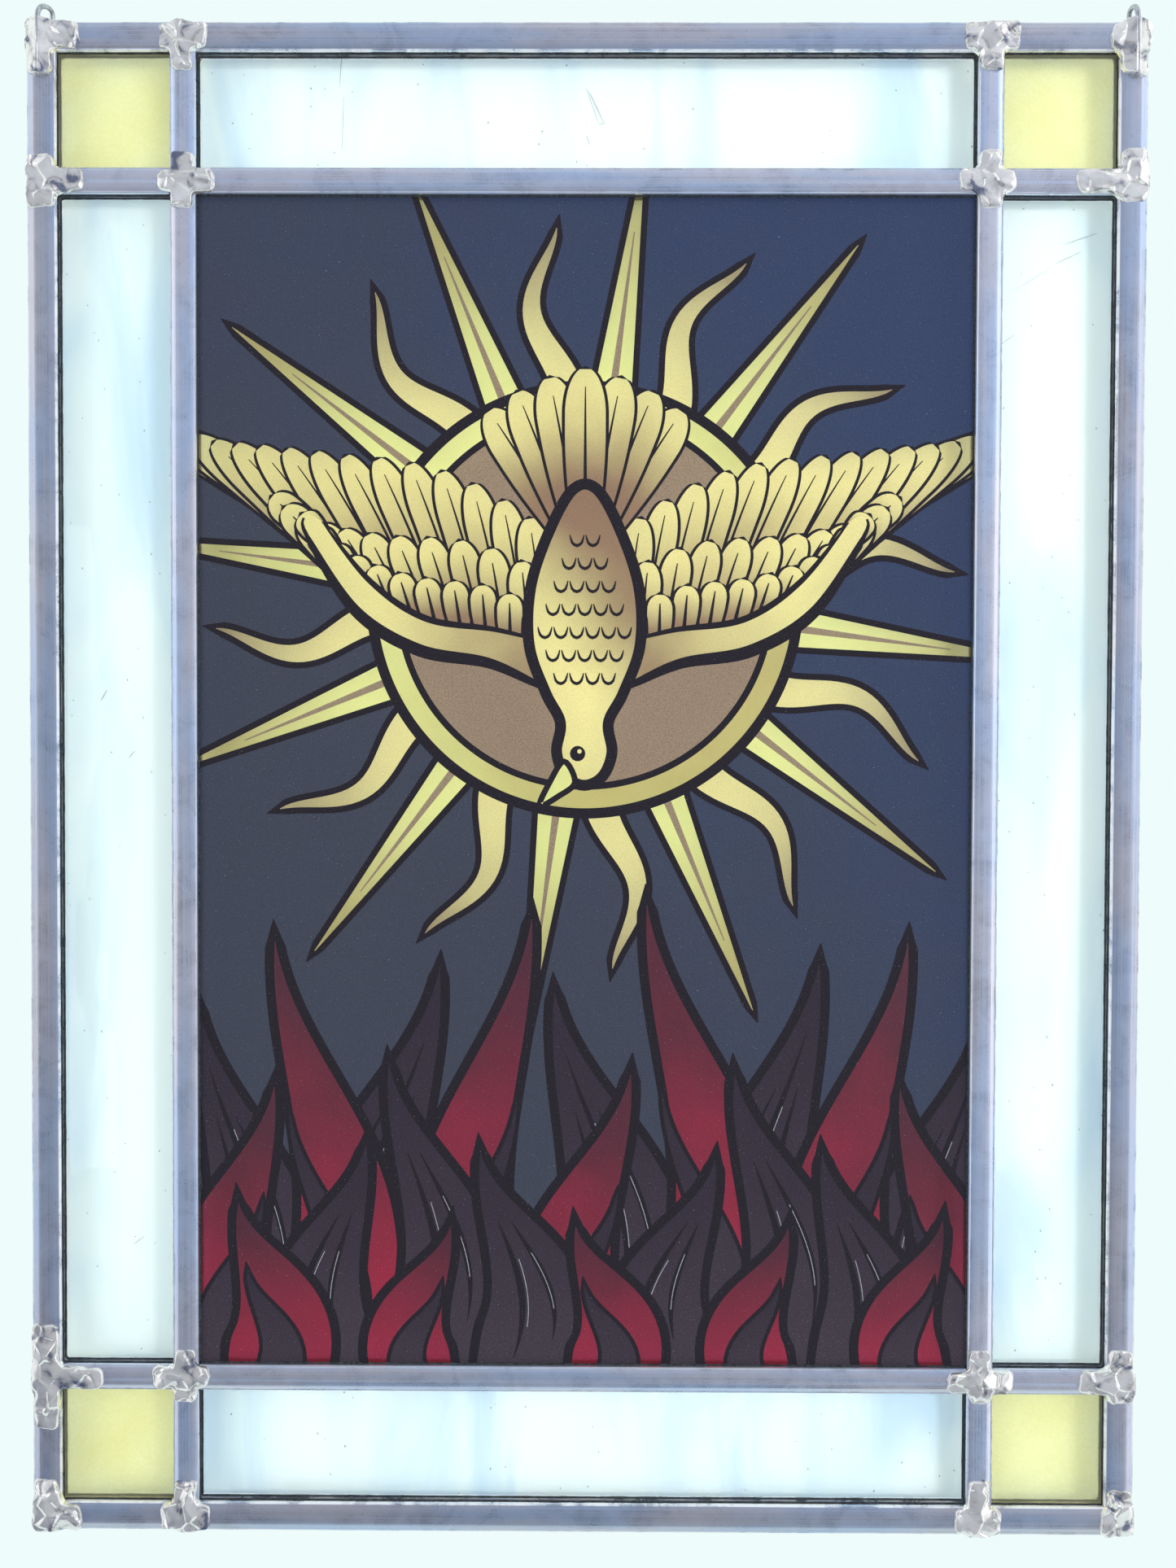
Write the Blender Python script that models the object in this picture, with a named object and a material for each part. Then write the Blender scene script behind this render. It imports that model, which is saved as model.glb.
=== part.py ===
"""A leaded stained glass panel that hangs by two wire loops.

Nine panes of glass sit in lead cames: a large picture pane in the middle, four clear strips
round it and four small square corners. Channel cames edge the panel, H-section cames part the
panes, and a blob of solder joins the cames at each meeting, front and back.

The panel stands in the XZ plane and its front faces -Y. The origin is half way across the
panel, on the line through the crowns of the two loops, which the panel hangs from.
"""

import math

import bmesh
import bpy
from mathutils import Vector

# Overall size of the panel, over the outer edges of the border cames.
PANEL_WIDTH = 0.300
PANEL_HEIGHT = 0.408

# Distance from the panel's outer edge to the centre line of the inner cames.
BORDER_X = 0.042
BORDER_Z = 0.0423

# Lead cames. A leaf is one of the two flanges that cover the edge of the glass.
BORDER_CAME_WIDTH = 0.008
INNER_CAME_WIDTH = 0.007
HEART_THICKNESS = 0.0016
CHANNEL_HEIGHT = 0.0036
LEAF_EDGE_THICKNESS = 0.0007
LEAF_CROWN_THICKNESS = 0.0014
LEAF_SHOULDER_THICKNESS = 0.00118
LEAF_SHOULDER_WIDTH = 0.0008
LEAF_LAND_WIDTH = 0.0030
EDGE_ROUNDING = 0.0006

# Glass.
GLASS_THICKNESS = 0.0030
SEAT_IN_BORDER_CAME = 0.0045
SEAT_IN_INNER_CAME = 0.0021

# Gap between pieces that touch in the real panel.
TOUCH_GAP = 0.0003

# Solder blobs.
SOLDER_RIM = 0.0003
SOLDER_DOME = 0.0008
SOLDER_SIDES = 24
SOLDER_RINGS = (0.0, 0.62, 1.0)
SOLDER_EDGE_INSET = 0.0001

# How far each blob runs from the middle of its joint: left, right, up, down. Rows run from the
# top of the panel down, and columns from its left to its right, as seen from the front.
SOLDER_REACH = {
    ("top", "left"): (0.0, 0.0110, 0.0, 0.0110),
    ("top", "midleft"): (0.0070, 0.0073, 0.0, 0.0096),
    ("top", "midright"): (0.0075, 0.0079, 0.0, 0.0100),
    ("top", "right"): (0.0069, 0.0, 0.0, 0.0112),
    ("upper", "left"): (0.0, 0.0120, 0.0070, 0.0080),
    ("upper", "midleft"): (0.0070, 0.0090, 0.0080, 0.0080),
    ("upper", "midright"): (0.0090, 0.0069, 0.0087, 0.0080),
    ("upper", "right"): (0.0156, 0.0, 0.0090, 0.0060),
    ("lower", "left"): (0.0, 0.0160, 0.0153, 0.0148),
    ("lower", "midleft"): (0.0095, 0.0069, 0.0080, 0.0068),
    ("lower", "midright"): (0.0092, 0.0095, 0.0090, 0.0062),
    ("lower", "right"): (0.0118, 0.0, 0.0093, 0.0062),
    ("bottom", "left"): (0.0, 0.0100, 0.0110, 0.0),
    ("bottom", "midleft"): (0.0071, 0.0075, 0.0109, 0.0),
    ("bottom", "midright"): (0.0074, 0.0065, 0.0122, 0.0),
    ("bottom", "right"): (0.0055, 0.0, 0.0093, 0.0),
}

# Hanging loops of tinned wire: the long leg is soldered down the front of a corner, and the
# short leg stands on top of the edge came, this far behind the middle of its thickness.
WIRE_DIAMETER = 0.0013
LOOP_RISE = 0.0053
LONG_LEG_INSET = 0.0041
LONG_LEG = 0.0146
SHORT_LEG_INSET = {"left": 0.0057, "right": 0.0040}
SHORT_LEG_DEPTH = 0.0010
LOOP_STEPS = 14
WIRE_BEVEL_RESOLUTION = 2

# Values that follow from those above.
PANEL_THICKNESS = CHANNEL_HEIGHT + 2 * LEAF_CROWN_THICKNESS
TOP_EDGE = -(LOOP_RISE - WIRE_DIAMETER)
BOTTOM_EDGE = TOP_EDGE - PANEL_HEIGHT
RIGHT_EDGE = PANEL_WIDTH / 2
LEFT_EDGE = -RIGHT_EDGE
SOLDER_BASE = PANEL_THICKNESS / 2 + TOUCH_GAP
SOLDER_TOP = SOLDER_BASE + SOLDER_RIM + SOLDER_DOME
WIRE_OFFSET = SOLDER_TOP + TOUCH_GAP + WIRE_DIAMETER / 2

# Centre lines of the cames, by row and by column.
ROW_Z = {
    "top": TOP_EDGE - BORDER_CAME_WIDTH / 2,
    "upper": TOP_EDGE - BORDER_Z,
    "lower": BOTTOM_EDGE + BORDER_Z,
    "bottom": BOTTOM_EDGE + BORDER_CAME_WIDTH / 2,
}
COLUMN_X = {
    "left": LEFT_EDGE + BORDER_CAME_WIDTH / 2,
    "midleft": LEFT_EDGE + BORDER_X,
    "midright": RIGHT_EDGE - BORDER_X,
    "right": RIGHT_EDGE - BORDER_CAME_WIDTH / 2,
}
BORDER_LINES = ("top", "bottom", "left", "right")


def clear_scene():
    for item in list(bpy.data.objects):
        bpy.data.objects.remove(item)


def material(name, colour, roughness, metallic, alpha=1.0):
    made = bpy.data.materials.new(name)
    made.use_nodes = True
    shader = made.node_tree.nodes["Principled BSDF"]
    shader.inputs["Base Color"].default_value = (*colour, 1.0)
    shader.inputs["Roughness"].default_value = roughness
    shader.inputs["Metallic"].default_value = metallic
    shader.inputs["Alpha"].default_value = alpha
    return made


def solid_object(name, mesh_work, finish, location=(0, 0, 0), turn=0.0):
    """One named object from a closed bmesh, turned about Y by an angle in degrees."""
    bmesh.ops.recalc_face_normals(mesh_work, faces=mesh_work.faces)
    mesh = bpy.data.meshes.new(name)
    mesh_work.to_mesh(mesh)
    mesh_work.free()
    mesh.materials.append(finish)
    made = bpy.data.objects.new(name, mesh)
    made.location = location
    made.rotation_euler = (0, math.radians(turn), 0)
    bpy.context.scene.collection.objects.link(made)
    return made


def came_width(line):
    return BORDER_CAME_WIDTH if line in BORDER_LINES else INNER_CAME_WIDTH


def leaf_outline(half_width):
    """The outer side of one leaf, from its +u edge to its -u edge, as (u, height) points."""
    middle = CHANNEL_HEIGHT / 2
    right_side = [
        (half_width, middle),
        (half_width, middle + LEAF_EDGE_THICKNESS),
        (half_width - LEAF_SHOULDER_WIDTH, middle + LEAF_SHOULDER_THICKNESS),
        (LEAF_LAND_WIDTH / 2, middle + LEAF_CROWN_THICKNESS),
    ]
    return right_side + [(-u, v) for u, v in reversed(right_side)]


def inner_came_outline():
    """H section: two leaves joined by the heart in the middle."""
    heart = HEART_THICKNESS / 2
    channel = CHANNEL_HEIGHT / 2
    front = [(heart, channel)] + leaf_outline(INNER_CAME_WIDTH / 2) + [(-heart, channel)]
    back = [(-u, -v) for u, v in front]
    return front + back


def border_came_outline():
    """U section, open towards +u, with the heart along its rounded outer edge."""
    half_width = BORDER_CAME_WIDTH / 2
    channel = CHANNEL_HEIGHT / 2
    heart_face = -half_width + HEART_THICKNESS
    leaf = leaf_outline(half_width)[:-2]
    side = channel + LEAF_EDGE_THICKNESS - EDGE_ROUNDING
    front = leaf + [
        (-half_width + EDGE_ROUNDING, channel + LEAF_EDGE_THICKNESS),
        (-half_width, side),
    ]
    back = [(u, -v) for u, v in reversed(front)]
    return front + back + [(heart_face, -channel), (heart_face, channel)]


def came(name, outline, length, middle, turn, lead):
    """A length of came along its own X axis, with the outline in (Z, Y)."""
    work = bmesh.new()
    ends = [
        [work.verts.new((x, v, u)) for u, v in outline]
        for x in (-length / 2, length / 2)
    ]
    work.faces.new(ends[0])
    work.faces.new(reversed(ends[1]))
    bmesh.ops.bridge_loops(
        work, edges=[edge for edge in work.edges if len(edge.link_faces) == 1]
    )
    return solid_object(name, work, lead, (middle[0], 0, middle[1]), turn)


def build_cames(lead):
    edge_outline = border_came_outline()
    inner_outline = inner_came_outline()
    inside_top = TOP_EDGE - BORDER_CAME_WIDTH - TOUCH_GAP
    inside_bottom = BOTTOM_EDGE + BORDER_CAME_WIDTH + TOUCH_GAP
    inside_left = LEFT_EDGE + BORDER_CAME_WIDTH + TOUCH_GAP
    inside_right = RIGHT_EDGE - BORDER_CAME_WIDTH - TOUCH_GAP
    middle_z = (TOP_EDGE + BOTTOM_EDGE) / 2

    # The left came runs the full height. The top and bottom cames butt against it and run on to
    # the right edge of the panel, and the right came stands between them.
    across = RIGHT_EDGE - inside_left
    across_middle = (RIGHT_EDGE + inside_left) / 2
    clear_height = inside_top - inside_bottom
    came("border_came_left", edge_outline, PANEL_HEIGHT, (COLUMN_X["left"], middle_z), 90, lead)
    came("border_came_top", edge_outline, across, (across_middle, ROW_Z["top"]), 180, lead)
    came("border_came_bottom", edge_outline, across, (across_middle, ROW_Z["bottom"]), 0, lead)
    came("border_came_right", edge_outline, clear_height, (COLUMN_X["right"], middle_z), -90, lead)

    # The two inner uprights run from the top came to the bottom one, and the level cames are
    # cut to fit between the uprights.
    for column in ("midleft", "midright"):
        side = column.removeprefix("mid")
        place = (COLUMN_X[column], middle_z)
        came(f"inner_came_{side}", inner_outline, clear_height, place, 90, lead)
    half_inner = INNER_CAME_WIDTH / 2 + TOUCH_GAP
    for row, word in (("upper", "top"), ("lower", "bottom")):
        spans = {
            f"short_came_{word}_left": (inside_left, COLUMN_X["midleft"] - half_inner),
            f"inner_came_{word}": (
                COLUMN_X["midleft"] + half_inner,
                COLUMN_X["midright"] - half_inner,
            ),
            f"short_came_{word}_right": (COLUMN_X["midright"] + half_inner, inside_right),
        }
        for name, (start, end) in spans.items():
            place = ((start + end) / 2, ROW_Z[row])
            came(name, inner_outline, end - start, place, 0, lead)


def glass_edge(line, centre, towards):
    """Where a pane ends inside the came on this line. towards is +1 or -1, into the pane."""
    seat = SEAT_IN_BORDER_CAME if line in BORDER_LINES else SEAT_IN_INNER_CAME
    return centre + towards * (came_width(line) / 2 - seat)


def pane(name, columns, rows, finish):
    left = glass_edge(columns[0], COLUMN_X[columns[0]], 1)
    right = glass_edge(columns[1], COLUMN_X[columns[1]], -1)
    top = glass_edge(rows[0], ROW_Z[rows[0]], -1)
    bottom = glass_edge(rows[1], ROW_Z[rows[1]], 1)
    work = bmesh.new()
    bmesh.ops.create_cube(work, size=1.0)
    bmesh.ops.scale(work, vec=(right - left, GLASS_THICKNESS, top - bottom), verts=work.verts)
    place = ((left + right) / 2, 0, (top + bottom) / 2)
    return solid_object(name, work, finish, place)


def build_glass(picture, clear, amber):
    middle_columns = ("midleft", "midright")
    middle_rows = ("upper", "lower")
    outer_columns = {"left": ("left", "midleft"), "right": ("midright", "right")}
    outer_rows = {"top": ("top", "upper"), "bottom": ("lower", "bottom")}
    pane("picture_glass", middle_columns, middle_rows, picture)
    for side, columns in outer_columns.items():
        pane(f"border_glass_{side}", columns, middle_rows, clear)
    for side, rows in outer_rows.items():
        pane(f"border_glass_{side}", middle_columns, rows, clear)
    for row_word, rows in outer_rows.items():
        for column_word, columns in outer_columns.items():
            pane(f"corner_glass_{row_word}_{column_word}", columns, rows, amber)


def arm_radius(turned, reach, half_width):
    """Distance from the joint's middle to the rim of a round-ended arm, at an angle off its axis."""
    if reach <= half_width or abs(turned) >= math.pi / 2:
        return 0.0
    cap_middle = reach - half_width
    off_axis = cap_middle * math.sin(abs(turned))
    if off_axis < half_width:
        radius = cap_middle * math.cos(turned) + math.sqrt(half_width**2 - off_axis**2)
        if radius * math.cos(turned) >= cap_middle:
            return radius
    return half_width / math.sin(abs(turned))


def blob_radius(angle, reaches, half_level, half_upright):
    """Rim of the blob: the widest of its four arms and of the disc that joins them."""
    left, right, up, down = reaches
    arms = (
        (math.pi, left, half_level),
        (0.0, right, half_level),
        (math.pi / 2, up, half_upright),
        (-math.pi / 2, down, half_upright),
    )
    widest = min(half_level, half_upright)
    for direction, reach, half_width in arms:
        turned = math.remainder(angle - direction, math.tau)
        widest = max(widest, arm_radius(turned, reach, half_width))
    return widest


def solder_blob(side_word, side, row, column, solder):
    """A low dome over a joint. side is -1 on the front of the panel and +1 on its back."""
    half_level = came_width(row) / 2 - SOLDER_EDGE_INSET
    half_upright = came_width(column) / 2 - SOLDER_EDGE_INSET
    work = bmesh.new()
    base, rings = [], []
    for share in SOLDER_RINGS[1:]:
        height = SOLDER_BASE + SOLDER_RIM + SOLDER_DOME * (1 - share**2)
        ring = []
        for step in range(SOLDER_SIDES):
            angle = math.tau * step / SOLDER_SIDES
            radius = blob_radius(angle, SOLDER_REACH[row, column], half_level, half_upright)
            x, z = radius * math.cos(angle), radius * math.sin(angle)
            ring.append(work.verts.new((share * x, side * height, share * z)))
            if share == SOLDER_RINGS[-1]:
                base.append(work.verts.new((x, side * SOLDER_BASE, z)))
        rings.append(ring)
    crown = work.verts.new((0, side * SOLDER_TOP, 0))
    work.faces.new(base)
    for step in range(SOLDER_SIDES):
        following = (step + 1) % SOLDER_SIDES
        work.faces.new((crown, rings[0][step], rings[0][following]))
        for inner, outer in zip(rings, rings[1:] + [base]):
            work.faces.new((inner[step], outer[step], outer[following], inner[following]))
    name = f"{side_word}_solder_{row}_{column}"
    return solid_object(name, work, solder, (COLUMN_X[column], 0, ROW_Z[row]))


def build_solder(solder):
    for side_word, side in (("front", -1), ("back", 1)):
        for row, column in SOLDER_REACH:
            solder_blob(side_word, side, row, column, solder)


def hanging_loop(side_word, wire):
    """A wire that runs up the front of a corner, leans back over the edge and turns down on it.

    Its crown is over the middle of the panel's thickness. A quarter of an ellipse leads up to
    the crown, and a quarter of a circle leads down from it to the short leg.
    """
    outward = -1 if side_word == "left" else 1
    long_leg = Vector((outward * (RIGHT_EDGE - LONG_LEG_INSET), -WIRE_OFFSET, 0))
    short_leg = Vector((outward * (RIGHT_EDGE - SHORT_LEG_INSET[side_word]), SHORT_LEG_DEPTH, 0))
    crown_share = WIRE_OFFSET / (WIRE_OFFSET + SHORT_LEG_DEPTH)
    arch_rise = LOOP_RISE - WIRE_DIAMETER / 2
    points = [long_leg + Vector((0, 0, TOP_EDGE - LONG_LEG))]
    for step in range(LOOP_STEPS + 1):
        turn = math.pi * step / LOOP_STEPS
        climbing = turn < math.pi / 2
        run = crown_share if climbing else 1 - crown_share
        drop = arch_rise if climbing else SHORT_LEG_DEPTH
        place = long_leg.lerp(short_leg, crown_share - run * math.cos(turn))
        place.z = TOP_EDGE + arch_rise - drop * (1 - math.sin(turn))
        points.append(place)
    points.append(short_leg + Vector((0, 0, TOP_EDGE + TOUCH_GAP)))

    curve = bpy.data.curves.new(f"hanging_loop_{side_word}", "CURVE")
    curve.dimensions = "3D"
    curve.bevel_depth = WIRE_DIAMETER / 2
    curve.bevel_resolution = WIRE_BEVEL_RESOLUTION
    curve.use_fill_caps = True
    curve.materials.append(wire)
    spline = curve.splines.new("POLY")
    spline.points.add(len(points) - 1)
    for target, place in zip(spline.points, points):
        target.co = (*place, 1.0)
    made = bpy.data.objects.new(f"hanging_loop_{side_word}", curve)
    bpy.context.scene.collection.objects.link(made)
    return made


def main():
    clear_scene()
    lead = material("lead", (0.36, 0.40, 0.49), 0.38, 0.9)
    solder = material("solder", (0.72, 0.72, 0.72), 0.18, 1.0)
    wire = material("tinned_wire", (0.45, 0.46, 0.50), 0.3, 1.0)
    clear = material("clear_glass", (0.80, 0.93, 0.95), 0.05, 0.0, 0.35)
    amber = material("yellow_glass", (0.86, 0.85, 0.45), 0.2, 0.0, 0.8)
    picture = material("picture_glass", (0.10, 0.09, 0.14), 0.3, 0.0)
    build_cames(lead)
    build_glass(picture, clear, amber)
    build_solder(solder)
    for side_word in SHORT_LEG_INSET:
        hanging_loop(side_word, wire)


main()
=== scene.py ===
"""Dresses the leaded glass panel: drawn lead, lumpy solder, cement, seedy glass and a painted pane."""

import math

import bmesh
import bpy
from mathutils import Matrix, Vector, geometry, noise


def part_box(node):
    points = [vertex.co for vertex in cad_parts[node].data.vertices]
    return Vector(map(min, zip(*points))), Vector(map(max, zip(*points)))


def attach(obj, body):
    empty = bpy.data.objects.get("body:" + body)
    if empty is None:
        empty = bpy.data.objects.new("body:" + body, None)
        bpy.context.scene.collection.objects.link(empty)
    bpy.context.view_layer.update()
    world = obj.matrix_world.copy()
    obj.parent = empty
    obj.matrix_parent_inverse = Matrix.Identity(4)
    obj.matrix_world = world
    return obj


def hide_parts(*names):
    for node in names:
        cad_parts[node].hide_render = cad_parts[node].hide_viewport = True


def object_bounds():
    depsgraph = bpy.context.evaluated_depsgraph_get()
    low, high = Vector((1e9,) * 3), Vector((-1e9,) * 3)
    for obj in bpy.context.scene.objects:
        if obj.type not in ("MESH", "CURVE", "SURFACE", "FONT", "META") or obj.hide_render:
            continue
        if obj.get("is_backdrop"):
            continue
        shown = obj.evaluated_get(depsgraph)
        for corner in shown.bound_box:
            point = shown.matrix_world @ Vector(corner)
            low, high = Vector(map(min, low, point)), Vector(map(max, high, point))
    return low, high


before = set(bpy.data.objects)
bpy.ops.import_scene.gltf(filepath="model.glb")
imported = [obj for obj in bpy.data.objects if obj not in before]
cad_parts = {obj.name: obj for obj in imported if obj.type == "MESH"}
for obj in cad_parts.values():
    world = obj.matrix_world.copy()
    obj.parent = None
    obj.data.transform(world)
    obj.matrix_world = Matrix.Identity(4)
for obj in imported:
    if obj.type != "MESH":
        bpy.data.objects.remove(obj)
cad_low, cad_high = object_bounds()


# Lead cames
# Strips of drawn lead that hold the glass: a channel round the panel's edge, and an H section
# between the panes. The leaf is crowned, with a groove and a bead along each of its edges, and
# the drawing die leaves fine lines along it. Each came is cut to length and butted.

LEAF_PROFILE = (
    # share of the half width, and height over the panel's middle
    (0.00, 0.00320),
    (0.26, 0.00319),
    (0.48, 0.00315),
    (0.60, 0.00308),
    (0.72, 0.00296),
    (0.80, 0.00287),
    (0.835, 0.00281),
    (0.86, 0.00279),
    (0.885, 0.00284),
    (0.92, 0.00286),
    (0.96, 0.00274),
    (0.99, 0.00245),
    (1.00, 0.00215),
    (0.985, 0.00180),
)
OUTER_BAND = ((0.26, 0.00319), (0.42, 0.00316), (0.50, 0.00310), (0.62, 0.00296), (0.76, 0.00276))
EDGE_HALF_WIDTH = 0.0040
INNER_HALF_WIDTH = 0.0035
CHANNEL_HALF_HEIGHT = 0.0018
HEART_HALF_THICKNESS = 0.0008
EDGE_WALL = 0.0016
EDGE_WALL_ROUNDING = 0.0009
CAME_STEP = 0.0015
CAME_WANDER = 0.00013
CAME_WANDER_LENGTH = 0.035
DIE_LINES = (9.0, 2300.0, 1.0)
SKIN_BANDS = (16.0, 160.0, 1.0)
LEAD_LILAC = (0.64, 0.63, 0.69)
LEAD_BLUE = (0.52, 0.605, 0.77)
# Convex leaf edges go near white and less metallic: partly rubbed lead, partly a painted highlight.
WORN_AND_HIGHLIT_EDGE_COLOUR = (0.93, 0.93, 0.95)
WORN_AND_HIGHLIT_EDGE_FROM = 0.512
WORN_AND_HIGHLIT_EDGE_TO = 0.535
# Factors on each came's lead colour: painted light, lighter on the inner cames and most on the uprights.
EDGE_PAINTED_LIGHT = 1.0
LEVEL_PAINTED_LIGHT = 1.18
UPRIGHT_PAINTED_LIGHT = 1.28


def node(tree, kind, inputs=None, **settings):
    """Adds a node, with its settings and the values of its inputs, by name or by number."""
    made = tree.nodes.new(kind)
    for key, value in settings.items():
        setattr(made, key, value)
    for key, value in (inputs or {}).items():
        if isinstance(value, bpy.types.NodeSocket):
            tree.links.new(value, made.inputs[key])
        else:
            made.inputs[key].default_value = value
    return made


def principled(name, **plain):
    """A Principled material with plain values on the shader's own sockets."""
    material = bpy.data.materials.new(name)
    material.use_nodes = True
    shader = material.node_tree.nodes["Principled BSDF"]
    for key, value in plain.items():
        socket = shader.inputs[key.replace("_", " ")]
        socket.default_value = (*value, 1.0) if socket.type == "RGBA" else value
    return material, material.node_tree, shader


def feed(shader, **patterns):
    """Lets patterns drive the shader's sockets."""
    for key, pattern in patterns.items():
        shader.id_data.links.new(pattern, shader.inputs[key.replace("_", " ")])


def bump(tree, shader, height, distance, strength=1.0):
    inputs = {"Height": height, "Distance": distance, "Strength": strength}
    feed(shader, Normal=node(tree, "ShaderNodeBump", inputs).outputs["Normal"])


def object_place(tree, scale=(1, 1, 1), turn=(0, 0, 0)):
    """Object coordinates, scaled and turned for a pattern."""
    place = node(tree, "ShaderNodeTexCoord").outputs["Object"]
    inputs = {"Vector": place, "Scale": scale, "Rotation": turn}
    return node(tree, "ShaderNodeMapping", inputs).outputs["Vector"]


def clouds(tree, scale, detail, roughness=0.5, distortion=0.0, place=None):
    """A noise pattern from 0 to 1. A shader's pattern lies on Object coordinates unless told."""
    inputs = {"Scale": scale, "Detail": detail, "Roughness": roughness, "Distortion": distortion}
    if place is None and tree.type == "SHADER":
        place = object_place(tree)
    if place is not None:
        inputs["Vector"] = place
    return node(tree, "ShaderNodeTexNoise", inputs).outputs["Fac"]


def attribute(tree, name):
    return node(tree, "ShaderNodeAttribute", attribute_name=name).outputs["Fac"]


def ramp(tree, factor, *stops):
    """A colour ramp through (position, colour) stops. A colour of one number is a grey."""
    made = node(tree, "ShaderNodeValToRGB", {"Fac": factor})
    elements = made.color_ramp.elements
    while len(elements) < len(stops):
        elements.new(1.0)
    for element, (position, colour) in zip(elements, stops):
        element.position = position
        element.color = (*colour, 1.0) if isinstance(colour, tuple) else (colour, colour, colour, 1.0)
    return made.outputs["Color"]


def reckon(tree, operation, *values, **settings):
    """A sum on numbers and sockets."""
    return node(tree, "ShaderNodeMath", dict(enumerate(values)), operation=operation, **settings).outputs[0]


def stretch(tree, value, low, high, to_low=0.0, to_high=1.0, **settings):
    """Stretches a value from one range to another."""
    ranges = {"From Min": low, "From Max": high, "To Min": to_low, "To Max": to_high}
    return node(tree, "ShaderNodeMapRange", {"Value": value, **ranges}, **settings).outputs["Result"]


def mixed(tree, factor, first, second, data_type="RGBA", blend_type="MIX"):
    """Two colours or numbers, mixed by a factor."""
    inputs = {"Factor": factor, "A": first, "B": second}
    made = node(tree, "ShaderNodeMix", inputs, data_type=data_type, blend_type=blend_type)
    return made.outputs["Result"]


def scaled(tree, vector, factor):
    inputs = {0: vector, "Scale": factor}
    return node(tree, "ShaderNodeVectorMath", inputs, operation="SCALE").outputs["Vector"]


def geometry_tree(name, **inputs):
    """A Geometry Nodes tree. Each input is given by its kind, or by a number that is its default."""
    tree = bpy.data.node_groups.new(name, "GeometryNodeTree")
    tree.interface.new_socket("Geometry", in_out="OUTPUT", socket_type="NodeSocketGeometry")
    for key, value in inputs.items():
        kind = {int: "Int", float: "Float"}.get(type(value), value)
        label = key.replace("_", " ")
        socket = tree.interface.new_socket(label, in_out="INPUT", socket_type=f"NodeSocket{kind}")
        if kind != value:
            socket.default_value = value
    return tree, node(tree, "NodeGroupInput").outputs


def stored(tree, shape, name, value):
    """Keeps a number on the shape, under a name that its material reads."""
    inputs = {"Geometry": shape, "Name": name, "Value": value}
    made = node(tree, "GeometryNodeStoreNamedAttribute", inputs, data_type="FLOAT")
    return made.outputs["Geometry"]


def moved(tree, shape, offset):
    inputs = {"Geometry": shape, "Offset": offset}
    return node(tree, "GeometryNodeSetPosition", inputs).outputs["Geometry"]


def resampled(tree, curve, step):
    made = node(tree, "GeometryNodeResampleCurve", {"Curve": curve}, mode="LENGTH")
    tree.links.new(step, made.inputs["Length"])
    return made.outputs["Curve"]


def end_tree(tree, shape, finish):
    """Realises what the tree made, gives it its material and sends it out."""
    real = node(tree, "GeometryNodeRealizeInstances", {"Geometry": shape}).outputs["Geometry"]
    dressed = node(tree, "GeometryNodeSetMaterial", {"Geometry": real, "Material": finish})
    node(tree, "NodeGroupOutput", {"Geometry": dressed.outputs["Geometry"]})


def put_up(name, data):
    """A new object in the scene."""
    made = bpy.data.objects.new(name, data)
    bpy.context.scene.collection.objects.link(made)
    return made


def plain_mesh(piece):
    """What an object's modifiers or its bent curve come to."""
    graph = bpy.context.evaluated_depsgraph_get()
    return bpy.data.meshes.new_from_object(piece.evaluated_get(graph), depsgraph=graph)


def made_by(tree, name, **values):
    """A plain mesh object made by the tree with these values of its named inputs."""
    piece = put_up(name, bpy.data.meshes.new(name))
    modifier = piece.modifiers.new("shape", "NODES")
    modifier.node_group = tree
    for socket in tree.interface.items_tree:
        key = socket.name.replace(" ", "_")
        if socket.in_out == "INPUT" and key in values:
            modifier[socket.identifier] = values[key]
    mesh = plain_mesh(piece)
    piece.modifiers.clear()
    piece.data = mesh
    return piece


def smooth(mesh, sharp_angle):
    mesh.shade_smooth()
    mesh.set_sharp_from_angle(angle=math.radians(sharp_angle))


def settle(piece, slot, *nodes):
    """The calls that every finished piece gets: its body and the hiding of the nodes it stands for. The
    slot is not used.
    """
    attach(piece, "root")
    if nodes:
        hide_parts(*nodes)


def section_curve(name, outline):
    """A closed outline in its own XY plane, for a tree to sweep."""
    curve = bpy.data.curves.new(name, "CURVE")
    curve.dimensions = "2D"
    spline = curve.splines.new("POLY")
    spline.points.add(len(outline) - 1)
    for point, (across, height) in zip(spline.points, outline):
        point.co = (across, height, 0, 1)
    spline.use_cyclic_u = True
    return put_up(name, curve)


def h_section(half_width):
    """The outline of an inner came: two crowned leaves on a heart."""
    leaf = [(share * half_width, height) for share, height in LEAF_PROFILE]
    inside = [(HEART_HALF_THICKNESS, CHANNEL_HALF_HEIGHT), (HEART_HALF_THICKNESS, -CHANNEL_HALF_HEIGHT)]
    right = leaf + inside + [(across, -height) for across, height in reversed(leaf)]
    return right + [(-across, height) for across, height in reversed(right[1:-1])]


def u_section(half_width):
    """The outline of an edge came, open towards +X, with a rounded wall on its outer side."""
    leaf = [(share * half_width, height) for share, height in LEAF_PROFILE]
    outer = [(-share * half_width, height) for share, height in OUTER_BAND]
    corner_height = outer[-1][1]
    for step in range(1, 5):
        turn = math.pi / 2 * step / 4
        across = -half_width + EDGE_WALL_ROUNDING * (1 - math.sin(turn))
        height = corner_height - EDGE_WALL_ROUNDING * (1 - math.cos(turn))
        outer.append((across, height))
    front = [(-half_width + EDGE_WALL, CHANNEL_HALF_HEIGHT)] + leaf[::-1] + outer
    return front + [(across, -height) for across, height in reversed(front)]


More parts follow.
